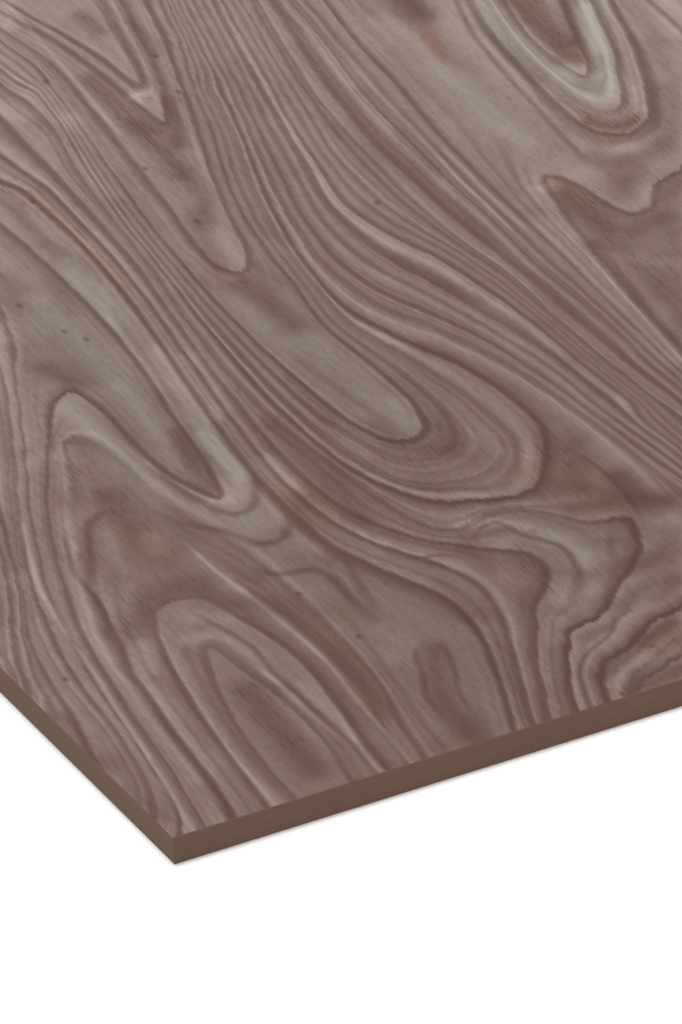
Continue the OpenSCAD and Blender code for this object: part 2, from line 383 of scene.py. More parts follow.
# Zones where dark pores show as a hatch along the grain, in the same form
HATCH_ZONES = [
    (100, 4, (104, 110), (112, 106)), (100, 3.5, (126, 95), (130, 87)),
    (100, 3, (105, 63), (105, 47)), (80, 2.5, (83, 246), (83, 236)),
    (70, 3, (37, 44), (36, 20)), (80, 3, (115, 262), (114, 225)),
    (80, 3, (199, 250), (198, 232)), (80, 3, (188, 212), (191, 202), (198, 198)),
    (60, 4, (47, 140), (46, 110)), (50, 4, (28, 78), (36, 88), (46, 87)),
    (60, 4, (177, 180), (175, 140)),
]

# Painted shade: the near part of the sheet is painted browner than the far part, between these distances
# along the grain, in place of light falling off towards the near end
NEAR_PAINTED_SHADE = 0.17
NEAR_FADE = (110, 225)
FAR_PAINTED_LIGHT = 0.03

# Pin specks: middle points, radius, squeeze along the grain and darkness
SPECKS = [(106.5, 277), (108.3, 236), (108, 212), (64.3, 202), (67.5, 188), (69.8, 183), (141, 199),
          (129, 274), (9, 67), (65, 50), (62.3, 71.5), (112, 15), (99, 1.5), (126.7, 259)]
SPECK_RADIUS = 1.0
SPECK_SQUEEZE = 0.6
SPECK_DARK = 0.5


def srgb(red, green, blue):
    """A colour as seen on screen, 0 to 255, as the linear colour a shader takes."""
    def linear(value):
        value /= 255
        return value / 12.92 if value <= 0.04045 else ((value + 0.055) / 1.055) ** 2.4
    return linear(red), linear(green), linear(blue), 1.0


def smooth_step(value, start, end):
    """0 below start, 1 above end and a smooth rise between."""
    ramp = np.clip((value - start) / (end - start), 0, 1)
    return ramp * ramp * (3 - 2 * ramp)


# Camera place

CAMERA_DISTANCE = PHOTO_HEIGHT / PIXELS_PER_MM * LENS / SENSOR


def camera_place():
    """The camera's right, up and back directions and its place, with the near corner on its pixel."""
    azimuth, elevation, roll = (math.radians(a) for a in (CAMERA_AZIMUTH, CAMERA_ELEVATION, CAMERA_ROLL))
    level = Vector((math.cos(azimuth), math.sin(azimuth), 0))
    back = Vector((math.sin(azimuth) * math.cos(elevation), -math.cos(azimuth) * math.cos(elevation),
                   math.sin(elevation)))
    upright = back.cross(level)
    right = level * math.cos(roll) - upright * math.sin(roll)
    up = upright * math.cos(roll) + level * math.sin(roll)

    corner = Vector((HIGH.x, LOW.y, HIGH.z))
    corner_x = (NEAR_CORNER_PIXEL[0] - PHOTO_WIDTH / 2) / PIXELS_PER_MM
    corner_y = (PHOTO_HEIGHT / 2 - NEAR_CORNER_PIXEL[1]) / PIXELS_PER_MM
    middle = corner - right * corner_x - up * corner_y
    return right, up, back, middle + back * CAMERA_DISTANCE


RIGHT, UP, BACK, EYE = camera_place()


def onto_sheet(traced):
    """Points traced on the photograph as points (across, along) of the sheet itself."""
    traced = np.array(traced, float)
    pixel = np.array(NEAR_CORNER_PIXEL) + traced @ np.array([TRACE_ACROSS, TRACE_ALONG])
    to_right = (pixel[:, :1] - PHOTO_WIDTH / 2) / PIXELS_PER_MM
    upwards = (PHOTO_HEIGHT / 2 - pixel[:, 1:]) / PIXELS_PER_MM
    ray = to_right * np.array(RIGHT) + upwards * np.array(UP) - CAMERA_DISTANCE * np.array(BACK)
    hit = np.array(EYE) + ray * ((HIGH.z - EYE.z) / ray[:, 2:])
    return np.stack([hit[:, 1] - LOW.y, HIGH.x - hit[:, 0]], 1)


# Curves on the sheet

CURVE_STEP = 1.2
FEWEST_POINTS = 4
RUN_ON = 330.0
RUN_ON_STEP = 4 * CURVE_STEP
BEND_LENGTH = 45.0
NEAR_GRAIN = 0.8

# Borders of what the photograph shows, as starts and slopes of lines on the sheet
LEFT_START, LEFT_SLOPE = 70, 2.09
TOP_START, TOP_BEND, TOP_SLOPE = 293, 116, 0.65
RIGHT_START, RIGHT_SLOPE = 106, 0.484
FRONT_START = 7


def curve_through(points):
    """Points about CURVE_STEP apart on a smooth curve through the traced ones, on the sheet."""
    points = onto_sheet(points)
    chord = np.concatenate([[0], np.cumsum(np.hypot(*np.diff(points, axis=0).T))])
    if len(points) > 2:
        slope = np.gradient(points, chord, axis=0)
    else:
        slope = np.diff(points, axis=0)[[0, 0]] / chord[-1]
    at = np.linspace(0, chord[-1], max(FEWEST_POINTS, int(chord[-1] / CURVE_STEP)))
    i = np.clip(np.searchsorted(chord, at, side="right") - 1, 0, len(points) - 2)
    span = (chord[i + 1] - chord[i])[:, None]
    f = (at - chord[i])[:, None] / span
    rise = f * f * (3 - 2 * f)
    bend_in = f * (1 - f) ** 2 * span
    bend_out = -f * f * (1 - f) * span
    return points[i] * (1 - rise) + points[i + 1] * rise + slope[i] * bend_in + slope[i + 1] * bend_out


def leaves_the_view(end):
    """True for the end of a line that is near the border of what the photograph shows."""
    across, along = end
    beyond_left = along > LEFT_START + LEFT_SLOPE * across
    beyond_top = along > TOP_START - TOP_SLOPE * max(across - TOP_BEND, 0)
    beyond_right = across > RIGHT_START + RIGHT_SLOPE * along
    beyond_front = along < FRONT_START
    return beyond_left or beyond_top or beyond_right or beyond_front


def run_on(line):
    """The line, carried on past its ends that leave the view. One near the grain turns into it."""
    pieces = [line]
    distance = np.linspace(CURVE_STEP, RUN_ON, int(RUN_ON / RUN_ON_STEP))[:, None]
    for at_start in (True, False):
        end, before = (line[0], line[2]) if at_start else (line[-1], line[-3])
        if not leaves_the_view(end):
            continue
        heading = (end - before) / np.hypot(*(end - before))
        tail = end + heading * distance[distance[:, 0] < BEND_LENGTH]
        if abs(heading[1]) > NEAR_GRAIN:
            along = np.array([0.0, math.copysign(1.0, heading[1])])
            turn = BEND_LENGTH * (1 - np.exp(-distance / BEND_LENGTH))
            tail = end + heading * turn + along * (distance - turn)
        pieces = [tail[::-1]] + pieces if at_start else pieces + [tail]
    return np.concatenate(pieces)


def nearest_on(line, spots):
    """Distance of each spot from the line, left positive, how far along it that is, and its length."""
    start, step = line[:-1], np.diff(line, axis=0)
    length = np.hypot(*step.T)
    travelled = np.concatenate([[0], np.cumsum(length)])
    offset = spots[:, None, :] - start
    share = np.clip((offset * step).sum(-1) / length ** 2, 0, 1)
    miss = offset - share[..., None] * step
    distance = np.hypot(miss[..., 0], miss[..., 1])
    k = distance.argmin(1)
    row = np.arange(len(spots))
    side = np.sign(step[k, 0] * offset[row, k, 1] - step[k, 1] * offset[row, k, 0])
    return distance[row, k] * side, travelled[k] + share[row, k] * length[k], travelled[-1]


def spots_near(line, spots, reach):
    """Index of the spots inside the line's box, widened by reach."""
    low, high = line.min(0) - reach, line.max(0) + reach
    return np.nonzero(((spots > low) & (spots < high)).all(1))[0]


# Loose lines and zones

LAYER_MARGIN = 3.2
END_TAPER = 9.0
NO_LINE = (0, 1, 0)
ZONE_REACH = 3


def clear_of(line, other, gap):
    """True if the two lines stay more than gap apart."""
    if (line.min(0) - gap > other.max(0)).any() or (other.min(0) - gap > line.max(0)).any():
        return True
    return np.hypot(*(line[:, None] - other[None, ::2]).transpose(2, 0, 1)).min() > gap


def free_layer(line, reach, members):
    """Number of the first layer whose lines all stay clear of this one."""
    for k, others in enumerate(members):
        if all(clear_of(line, other, reach + other_reach) for other, other_reach in others):
            return k
    return len(members)


def line_layers(spots):
    """Layers of (offset, fade, darkness). Lines in one layer stay clear, so that it blends between spots."""
    layers, members = [], []
    for style, lines in LINES.items():
        dark, fade = LINE_STYLES[style]
        reach = fade + LAYER_MARGIN
        for points in lines:
            line = run_on(curve_through(points))
            free = free_layer(line, reach, members)
            if free == len(layers):
                layers.append(np.zeros((len(spots), 3)) + NO_LINE)
                members.append([])
            members[free].append((line, reach))
            near = spots_near(line, spots, reach)
            if not len(near):
                continue
            offset, at, whole = nearest_on(line, spots[near])
            window = 1 - smooth_step(np.abs(offset), reach - LAYER_MARGIN / 2, reach)
            taper = smooth_step(at, 0, END_TAPER) * smooth_step(whole - at, 0, END_TAPER)
            values = np.stack([offset, np.full(len(near), fade), dark * window * taper], 1)
            kept = window > 0
            layers[free][near[kept]] = values[kept]
    return layers


def zone_sum(zones, spots):
    """The amounts of the zones at each spot, each fading smoothly to its side."""
    total = np.zeros(len(spots))
    for amount, half_width, *points in zones:
        line = curve_through(points)
        near = spots_near(line, spots, ZONE_REACH * half_width)
        offset, _, _ = nearest_on(line, spots[near])
        total[near] += amount / 100 * np.exp(-(offset / half_width) ** 2)
    return total


# Field of growth levels

STRETCH = 2.0
STIFFNESS = 10.0
HOLD = 30.0
FIELD_PASSES = ((8, 400), (4, 400), (2, 400), (1, 260))
LAST_CELL = 1.001


def ring_samples():
    """Places along every ring with its level and strength."""
    places, values = [], []
    for level, strength, *points in RINGS:
        line = run_on(curve_through(points))
        places.append(line)
        values.append(np.tile([level, strength], (len(line), 1)))
    for level, strength, across, start in PLAIN_RINGS:
        along = np.arange(start, LENGTH, CURVE_STEP * 2)
        places.append(np.stack([np.full(len(along), across), along], 1))
        values.append(np.tile([level, strength], (len(along), 1)))
    places, values = np.concatenate(places), np.concatenate(values)
    inside = ((places > 0) & (places < (WIDTH, LENGTH))).all(1)
    return places[inside], values[inside]


def bent_sheet(field, cell_v, cell_u):
    """Pull back on a field that is stretched and bent between its held places."""
    pull = np.zeros_like(field)
    area = cell_v * cell_u
    for axis, cell, weight in ((1, cell_v, 1.0), (0, cell_u, STRETCH)):
        slope = np.diff(field, axis=axis) / cell ** 2 * weight * area
        ends = [(0, 0)] * 3
        ends[axis] = (1, 1)
        pull -= np.diff(np.pad(slope, ends), axis=axis)
        bend = np.diff(field, 2, axis=axis) / cell ** 4 * weight ** 2 * STIFFNESS * area
        ends[axis] = (2, 2)
        pull += np.diff(np.pad(bend, ends), 2, axis=axis)
    twist = np.diff(np.diff(field, axis=0), axis=1) / area ** 2 * 2 * STRETCH * STIFFNESS * area
    twist = np.pad(twist, [(1, 1), (1, 1), (0, 0)])
    return pull + np.diff(np.diff(twist, axis=0), axis=1)


def held_cells(places, lines_v, lines_u):
    """The four grid points round each held place, each with its share of it."""
    at_v = np.clip((places[:, 0] - lines_v[0]) / (lines_v[1] - lines_v[0]), 0, len(lines_v) - LAST_CELL)
    at_u = np.clip((places[:, 1] - lines_u[0]) / (lines_u[1] - lines_u[0]), 0, len(lines_u) - LAST_CELL)
    v, u = at_v.astype(int), at_u.astype(int)
    parts_v = (1 - (at_v - v), at_v - v)
    parts_u = (1 - (at_u - u), at_u - u)
    return [((u + j) * len(lines_v) + v + i, parts_u[j] * parts_v[i]) for j in (0, 1) for i in (0, 1)]


def descend(apply, flat, wanted, rounds):
    """Conjugate gradient steps towards the field for which apply gives what is wanted."""
    left = wanted - apply(flat)
    step = left.copy()
    size = (left * left).sum(0)
    for _ in range(rounds):
        answer = apply(step)
        pace = size / (step * answer).sum(0)
        flat = flat + pace * step
        left = left - pace * answer
        new_size = (left * left).sum(0)
        step = left + new_size / size * step
        size = new_size
    return flat


def resample(field, shape):
    """The field on a grid of another shape over the same area."""
    rows = np.linspace(0, field.shape[0] - LAST_CELL, shape[0])
    columns = np.linspace(0, field.shape[1] - LAST_CELL, shape[1])
    r, c = rows.astype(int), columns.astype(int)
    fr, fc = (rows - r)[:, None, None], (columns - c)[None, :, None]
    upper = field[r][:, c] * (1 - fc) + field[r][:, c + 1] * fc
    lower = field[r + 1][:, c] * (1 - fc) + field[r + 1][:, c + 1] * fc
    return upper * (1 - fr) + lower * fr


def solve_levels(across, along):
    """Level and strength at every grid point, smooth between the rings. Coarse grids go first."""
    places, values = ring_samples()
    field = np.tile(values.mean(0), (2, 2, 1))
    for skip, rounds in FIELD_PASSES:
        lines_v = np.linspace(across[0], across[-1], (len(across) - 1) // skip + 1)
        lines_u = np.linspace(along[0], along[-1], (len(along) - 1) // skip + 1)
        cell_v, cell_u = lines_v[1] - lines_v[0], lines_u[1] - lines_u[0]
        cells = held_cells(places, lines_v, lines_u)
        field = resample(field, (len(lines_u), len(lines_v)))
        shape = field.shape

        def held(flat):
            return sum(share[:, None] * flat[corner] for corner, share in cells)

        def spread(amount):
            flat = np.zeros((shape[0] * shape[1], 2))
            for corner, share in cells:
                for k in (0, 1):
                    flat[:, k] += np.bincount(corner, share * amount[:, k], len(flat))
            return flat

        def apply(flat):
            pull = bent_sheet(flat.reshape(shape), cell_v, cell_u)
            return pull.reshape(-1, 2) + HOLD * spread(held(flat))

        field = descend(apply, field.reshape(-1, 2), HOLD * spread(values), rounds).reshape(shape)
    return field


# Sheet

MAP_EDGE = 0.004
MAP_FACE_ROWS = (0.004, 0.84)
MAP_SIDE_ROWS = (0.855, 0.865, 0.890, 0.900)
MAP_BACK_ROWS = (0.915, 0.996)


def lay_out_map(mesh, plan, quads, rim_count, back):
    """Map for baking: the face takes most of it, with a strip for the sides and one for the back above."""
    def flat(rows):
        left = MAP_EDGE + (1 - 2 * MAP_EDGE) * plan[:, 1] / LENGTH
        return np.stack([left, rows[0] + (rows[1] - rows[0]) * plan[:, 0] / WIDTH], 1)

    corners = [flat(MAP_FACE_ROWS)[quads].reshape(-1, 2)]
    start = MAP_EDGE + (1 - 2 * MAP_EDGE) * np.arange(rim_count) / rim_count
    end = start + (1 - 2 * MAP_EDGE) / rim_count
    for upper, lower in zip(MAP_SIDE_ROWS, MAP_SIDE_ROWS[1:]):
        columns = np.stack([start, start, end, end], 1)
        rows = np.broadcast_to([upper, lower, lower, upper], columns.shape)
        corners.append(np.stack([columns, rows], -1).reshape(-1, 2))
    corners.append(flat(MAP_BACK_ROWS)[back])
    layer = mesh.uv_layers.new(name="OFBake")
    layer.data.foreach_set("uv", np.concatenate(corners).astype(np.float32).ravel())


def sheet_mesh(spots, row_count):
    """One closed sheet: a gridded face, small arrises, plain sides and a plain back."""
    index = np.arange(len(spots)).reshape(row_count, -1)
    rim = np.concatenate([index[0, :-1], index[:-1, -1], index[-1, :0:-1], index[:0:-1, 0]])
    rim_plan = spots[rim]
    middle = np.array([WIDTH / 2, LENGTH / 2])
    from_middle = rim_plan - middle
    outward = np.sign(from_middle) * (np.abs(from_middle) > middle - 2 * ARRIS)
    outer = rim_plan + outward * ARRIS
    loops = [(outer, THICKNESS - ARRIS), (outer, ARRIS), (rim_plan, 0.0)]

    plan = np.concatenate([spots] + [loop for loop, _ in loops])
    height = np.concatenate([np.full(len(spots), THICKNESS)] + [np.full(len(loop), z) for loop, z in loops])
    points = np.stack([HIGH.x - plan[:, 1], LOW.y + plan[:, 0], LOW.z + height], 1) * MM

    quads = np.stack([index[:-1, :-1], index[:-1, 1:], index[1:, 1:], index[1:, :-1]], -1).reshape(-1, 4)
    faces = quads.tolist()
    rings = [rim] + [len(spots) + k * len(rim) + np.arange(len(rim)) for k in range(len(loops))]
    for upper, lower in zip(rings, rings[1:]):
        faces += np.stack([upper, lower, np.roll(lower, -1), np.roll(upper, -1)], 1).tolist()
    side_count = len(faces) - len(quads)
    back = rings[-1][::-1]
    faces.append(back.tolist())

    mesh = bpy.data.meshes.new("veneer_sheet_wood")
    mesh.from_pydata(points.tolist(), [], faces)
    mesh.polygons.foreach_set("material_index", [0] * len(quads) + [1] * side_count + [2])
    lay_out_map(mesh, plan, quads, len(rim), back)
    return mesh


def store(mesh, name, values, blank=0):
    """Values of the face's points on the mesh, as numbers or vectors. Its other points are blank."""
    rest = np.zeros((len(mesh.vertices) - len(values),) + values.shape[1:]) + blank
    kind, key = ("FLOAT", "value") if values.ndim == 1 else ("FLOAT_VECTOR", "vector")
    place = mesh.attributes.new(name, kind, "POINT")
    place.data.foreach_set(key, np.concatenate([values, rest]).astype(np.float32).ravel())


def make_sheet():
    """The sheet, with its figure stored on the points of the face."""
    across = np.linspace(ARRIS, WIDTH - ARRIS, round(WIDTH / CELL_ACROSS) + 1)
    along = np.linspace(ARRIS, LENGTH - ARRIS, round(LENGTH / CELL_ALONG) + 1)
    grid_v, grid_u = np.meshgrid(across, along)
    spots = np.stack([grid_v.ravel(), grid_u.ravel()], 1)
    mesh = sheet_mesh(spots, len(along))

    layers = line_layers(spots)
    for material in (face_wood(len(layers)), edge_wood(), back_wood()):
        mesh.materials.append(material)
    for k, layer in enumerate(layers):
        store(mesh, f"line_{k}", layer, NO_LINE)
    # Painted shade: the stored tone is the figure's zones plus a browning towards the near end, standing in
    # for light falling off
    near = 1 - smooth_step(spots[:, 1], *NEAR_FADE)
    store(mesh, "tone_and_painted_shade", zone_sum(ZONES, spots) + NEAR_PAINTED_SHADE * near - FAR_PAINTED_LIGHT)
    for name, zones in (("hatch", HATCH_ZONES), ("grey", GREY_ZONES), ("red", RED_ZONES)):
        store(mesh, name, np.minimum(zone_sum(zones, spots), 1.0))
    field = solve_levels(across, along)
    slope_u, slope_v = np.gradient(field[..., 0], along, across)
    store(mesh, "level", field[..., 0].ravel())
    store(mesh, "strength", field[..., 1].ravel())
    store(mesh, "pace", np.hypot(slope_u, slope_v).ravel())
    store(mesh, "climb", slope_u.ravel())

    sheet = bpy.data.objects.new("veneer_sheet_wood", mesh)
    bpy.context.scene.collection.objects.link(sheet)
    return sheet


# Materials

BUMP_STRENGTH = 0.4


class Nodes:
    """Short calls for adding nodes to one material."""

    def __init__(self, name):
        self.material = bpy.data.materials.new(name)
        self.material.use_nodes = True
        self.tree = self.material.node_tree
        self.tree.nodes.clear()

    def add(self, kind, **settings):
        node = self.tree.nodes.new(kind)
        for key, value in settings.items():
            setattr(node, key, value)
        return node

    def feed(self, socket, value):
        if isinstance(value, bpy.types.NodeSocket):
            self.tree.links.new(value, socket)
        else:
            socket.default_value = value

    def math(self, operation, *values):
        node = self.add("ShaderNodeMath", operation=operation)
        for socket, value in zip(node.inputs, values):
            self.feed(socket, value)
        return node.outputs[0]

    def map_range(self, value, from_low, from_high, to_low, to_high):
        """The value moved smoothly from one range to another, and held at its ends."""
        node = self.add("ShaderNodeMapRange", interpolation_type="SMOOTHSTEP")
        for socket, number in zip(node.inputs, (value, from_low, from_high, to_low, to_high)):
            self.feed(socket, number)
        return node.outputs[0]

    def fall(self, distance, width):
        """1 at no distance, falling smoothly to 0 at the width."""
        return self.map_range(distance, 0.0, width, 1.0, 0.0)

    def stored(self, name, output="Fac"):
        """What the mesh stores under the name."""
        return self.add("ShaderNodeAttribute", attribute_name=name).outputs[output]

    def plan(self, scale):
        """Object coordinates in millimetres, scaled."""
        place = self.add("ShaderNodeTexCoord").outputs["Object"]
        node = self.add("ShaderNodeVectorMath", operation="MULTIPLY")
        self.feed(node.inputs[0], place)
        node.inputs[1].default_value = [s / MM for s in scale]
        return node.outputs[0]

    def noise(self, scale, detail=2.0, roughness=0.5):
        """Noise whose cells are 1/scale millimetres long on each axis."""
        node = self.add("ShaderNodeTexNoise", noise_dimensions="3D")
        self.feed(node.inputs["Vector"], self.plan(scale))
        node.inputs["Scale"].default_value = 1.0
        node.inputs["Detail"].default_value = detail
        node.inputs["Roughness"].default_value = roughness
        return node.outputs[0]

    def sway(self, reach=1.0, **settings):
        """Noise about zero, times the reach."""
        return self.math("MULTIPLY", self.math("SUBTRACT", self.noise(**settings), 0.5), reach)

    def ramp(self, factor, positions, colours):
        """Colour by factor, each colour at its own position."""
        low, high = positions[0], positions[-1]
        share = self.math("DIVIDE", self.math("SUBTRACT", factor, low), high - low)
        node = self.add("ShaderNodeValToRGB")
        elements = node.color_ramp.elements
        while len(elements) < len(colours):
            elements.new(0.5)
        for element, position, colour in zip(elements, positions, colours):
            element.position = (position - low) / (high - low)
            element.color = srgb(*colour)
        self.feed(node.inputs[0], share)
        return node.outputs[0]

    def mix(self, share, first, second):
        node = self.add("ShaderNodeMix", data_type="RGBA")
        self.feed(node.inputs[0], share)
        self.feed(node.inputs[6], first)
        self.feed(node.inputs[7], second)
        return node.outputs[2]

    def wood(self, colour, fibre, roughness, bump_distance, gloss):
        """Wood of this colour whose roughness, (base, change), and bump follow its fibres."""
        base, change = roughness
        shader = self.add("ShaderNodeBsdfPrincipled")
        self.feed(shader.inputs["Base Color"], colour)
        self.feed(shader.inputs["Roughness"], self.math("MULTIPLY_ADD", fibre, change, base))
        shader.inputs["Specular IOR Level"].default_value = gloss
        bump = self.add("ShaderNodeBump")
        bump.inputs["Distance"].default_value = bump_distance
        bump.inputs["Strength"].default_value = BUMP_STRENGTH
        self.feed(bump.inputs["Height"], fibre)
        self.feed(shader.inputs["Normal"], bump.outputs[0])
        self.show(shader)
        return self.material

    def show(self, shader):
        output = self.add("ShaderNodeOutputMaterial")
        self.feed(output.inputs["Surface"], shader.outputs[0])


# Colours on screen by how brown the wood is, from pale threads to the darkest lines
BROWN_STOPS = (-0.25, 0.0, 0.25, 0.5, 0.75, 1.0, 1.5)
PINK_WOOD = ((185, 169, 160), (169, 153, 144), (150, 134, 125), (133, 113, 103), (116, 96, 86),
             (104, 83, 74), (88, 67, 59))
GREY_WOOD = ((178, 168, 158), (162, 152, 142), (144, 133, 123), (129, 113, 103), (115, 96, 85),
             (104, 83, 73), (87, 67, 58))
RED_WOOD = ((190, 167, 156), (176, 151, 139), (156, 130, 119), (138, 108, 95), (121, 89, 75),
            (107, 75, 61), (90, 62, 50))
MIDDLE_BROWN = 0.5

# Uneven fibres: noise cells to the millimetre along the grain, across it and up
WOBBLE = dict(scale=(0.05, 0.5, 0.5), detail=3.0, reach=0.9)
STRAND = dict(scale=(0.07, 1.3, 1.3), roughness=0.6, reach=2.2)
WAVE = dict(scale=(0.04, 0.3, 0.3), detail=1.0, reach=2.6)
DRIFT = dict(scale=(0.004, 0.01, 0.01), detail=1.0)
FIBRE = dict(scale=(0.06, 1.1, 1.1), detail=3.0, roughness=0.6)
MOTTLE = dict(scale=(0.02, 0.06, 0.06), reach=0.25)
SPECKLE = dict(scale=(0.5, 1.1, 1.1), roughness=0.7, reach=0.3)
PORE = dict(scale=(0.22, 2.2, 2.2), detail=1.0)
PORE_SPAN = (0.56, 0.72)
FIBRE_DARK = 0.22
PORE_DARK = 0.10
HATCH_DARK = 0.40

# Rings: widths in millimetres; the pace is how many levels lie in a millimetre
SLOWEST_PACE = 0.02
LINE_ROOM = 0.45
EDGE_SOFTNESS = 1.2
CORE_WIDTH = 1.5
CORE_DARK = 0.42
SHADE_REACH = 5.0
SHADE_DARK = 0.36
RING_MEAN = 0.26
CROWDED_RINGS = 0.42

# Faint bands between the rings, by the same pace
BAND_PITCH = 2.6
BAND_DETAIL = 1.6
BAND_ROUGHNESS = 0.6
BAND_DRIFT = 1.5
BAND_DARK = 0.85
CROWDED_BANDS = 0.28
SPARSE_BANDS = 0.11

FACE_ROUGHNESS = (0.72, 0.2)
FACE_BUMP = 0.00008
FACE_GLOSS = 0.08


def ring_level(n, wobble, pace):
    """Growth level, made uneven by the fibres."""
    level = n.math("MULTIPLY_ADD", wobble, pace, n.stored("level"))
    uneven = n.math("ADD", n.sway(**STRAND), n.sway(**WAVE))
    return n.math("MULTIPLY_ADD", uneven, n.stored("climb"), level)


def ring_dark(n, level, pace):
    """A dark line at every whole level with a shade behind it, fainter where rings crowd."""
    past = n.math("FRACT", level)
    ahead = n.math("DIVIDE", n.math("SUBTRACT", 1.0, past), pace)
    behind = n.math("DIVIDE", past, pace)
    room = n.math("DIVIDE", LINE_ROOM, pace)
    edge = n.fall(ahead, n.math("MINIMUM", EDGE_SOFTNESS, room))
    core = n.fall(behind, n.math("MINIMUM", CORE_WIDTH, room))
    shade = n.fall(behind, n.math("MINIMUM", SHADE_REACH, n.math("DIVIDE", 1.0, pace)))
    ring = n.math("MULTIPLY", n.math("MAXIMUM", core, edge), CORE_DARK)
    ring = n.math("MULTIPLY_ADD", n.math("MAXIMUM", shade, edge), SHADE_DARK, ring)
    ring = n.math("SUBTRACT", ring, RING_MEAN)
    apart = n.math("MINIMUM", n.math("DIVIDE", CROWDED_RINGS, pace), 1.0)
    return n.math("MULTIPLY", n.math("MULTIPLY", ring, apart), n.stored("strength"))


def band_dark(n, level, pace):
    """Bands that follow the rings, fainter where these crowd or lie far apart."""
    bands = n.add("ShaderNodeTexNoise", noise_dimensions="1D")
    n.feed(bands.inputs["W"], n.math("MULTIPLY_ADD", n.noise(**DRIFT), BAND_DRIFT, level))
    bands.inputs["Scale"].default_value = BAND_PITCH
    bands.inputs["Detail"].default_value = BAND_DETAIL
    bands.inputs["Roughness"].default_value = BAND_ROUGHNESS
    band = n.math("MULTIPLY", n.math("SUBTRACT", bands.outputs[0], 0.5), BAND_DARK)
    apart = n.math("MINIMUM", n.math("DIVIDE", CROWDED_BANDS, pace), 1.0)
    near = n.math("MINIMUM", n.math("DIVIDE", pace, SPARSE_BANDS), 1.0)
    return n.math("MULTIPLY", n.math("MULTIPLY", band, near), apart)


def line_dark(n, wobble, layer_count):
    """The loose lines of all layers."""
    total = 0.0
    for k in range(layer_count):
        place = n.add("ShaderNodeSeparateXYZ")
        n.feed(place.inputs[0], n.stored(f"line_{k}", "Vector"))
        offset, fade, dark = place.outputs
        away = n.math("ABSOLUTE", n.math("ADD", offset, wobble))
        total = n.math("MULTIPLY_ADD", n.fall(away, fade), dark, total)
    return total


def pore_dark(n):
    """Short pores along the grain, darker in the hatched zones."""
    pore = n.map_range(n.noise(**PORE), *PORE_SPAN, 0.0, 1.0)
    return n.math("MULTIPLY", pore, n.math("MULTIPLY_ADD", n.stored("hatch"), HATCH_DARK, PORE_DARK))


def speck_dark(n):
    """Dark pin specks."""
    place = n.plan((SPECK_SQUEEZE, 1, 0))
    cover = 0.0
    for across, along in onto_sheet(SPECKS):
        gap = n.add("ShaderNodeVectorMath", operation="DISTANCE")
        n.feed(gap.inputs[0], place)
        gap.inputs[1].default_value = (SPECK_SQUEEZE * (HIGH.x - along), LOW.y + across, 0)
        cover = n.math("ADD", n.fall(gap.outputs["Value"], SPECK_RADIUS), cover)
    return n.math("MULTIPLY", cover, SPECK_DARK)


def face_wood(layer_count):
    """Figured face: rings, lines and zones from the mesh, with fibres and pores laid along the grain. The
    stored tone also carries painted shade, browner towards the near end.
    """
    n = Nodes("veneer_face")
    wobble = n.sway(**WOBBLE)
    pace = n.math("MAXIMUM", n.stored("pace"), SLOWEST_PACE)
    level = ring_level(n, wobble, pace)
    fibre = n.sway(**FIBRE)
    parts = (n.stored("tone_and_painted_shade"), ring_dark(n, level, pace), band_dark(n, level, pace),
             line_dark(n, wobble, layer_count), n.math("MULTIPLY", fibre, FIBRE_DARK),
             n.sway(**MOTTLE), pore_dark(n), n.sway(**SPECKLE), speck_dark(n))
    brown = MIDDLE_BROWN
    for part in parts:
        brown = n.math("ADD", part, brown)
    pink, grey, red = (n.ramp(brown, BROWN_STOPS, wood) for wood in (PINK_WOOD, GREY_WOOD, RED_WOOD))
    colour = n.mix(n.stored("grey"), pink, grey)
    colour = n.mix(n.stored("red"), colour, red)
    return n.wood(colour, fibre, FACE_ROUGHNESS, FACE_BUMP, FACE_GLOSS)


EDGE_FIBRE = dict(scale=(0.05, 0.05, 1.6), detail=3.0)
EDGE_STOPS = (0.2, 0.8)
EDGE_BROWNS = ((110, 88, 72), (117, 94, 78))
EDGE_ROUGHNESS = (0.6, 0.1)
EDGE_BUMP = 0.00005
EDGE_GLOSS = 0.06


def edge_wood():
    """Plain brown edge with faint fibres along it."""
    n = Nodes("veneer_edge")
    fibre = n.noise(**EDGE_FIBRE)
    colour = n.ramp(fibre, EDGE_STOPS, EDGE_BROWNS)
    return n.wood(colour, fibre, EDGE_ROUGHNESS, EDGE_BUMP, EDGE_GLOSS)


BACK_FIBRE = dict(scale=(0.004, 0.35, 0.35), detail=5.0, roughness=0.6)
BACK_STOPS = (0.25, 0.75)
BACK_BROWNS = ((150, 131, 121), (112, 92, 81))
BACK_ROUGHNESS = (0.55, 0.2)
BACK_BUMP = 0.00008
BACK_GLOSS = 0.25


def back_wood():
    """Plain straight-grained back."""
    n = Nodes("veneer_back")
    fibre = n.noise(**BACK_FIBRE)
    colour = n.ramp(fibre, BACK_STOPS, BACK_BROWNS)
    return n.wood(colour, fibre, BACK_ROUGHNESS, BACK_BUMP, BACK_GLOSS)


# Stage, light and camera

FLOOR_SIZE = 80.0
FLOOR_GRAIN = (0.01, 0.01, 0.01)
FLOOR_WHITES = ((243.4, 243.4, 243.4), (248.2, 248.2, 248.2))
FLOOR_LIFT = 0.15
FLOOR_BOUNCE = 0.4
WORLD_LIGHT = 0.3
WORLD_SEEN = 1.0
KEY_SHARE = 0.7
KEY_ANGLE = 20.0
KEY_FROM = (-0.1, 0.012, 1.0)
CLIP_START, CLIP_END = 0.1, 200.0


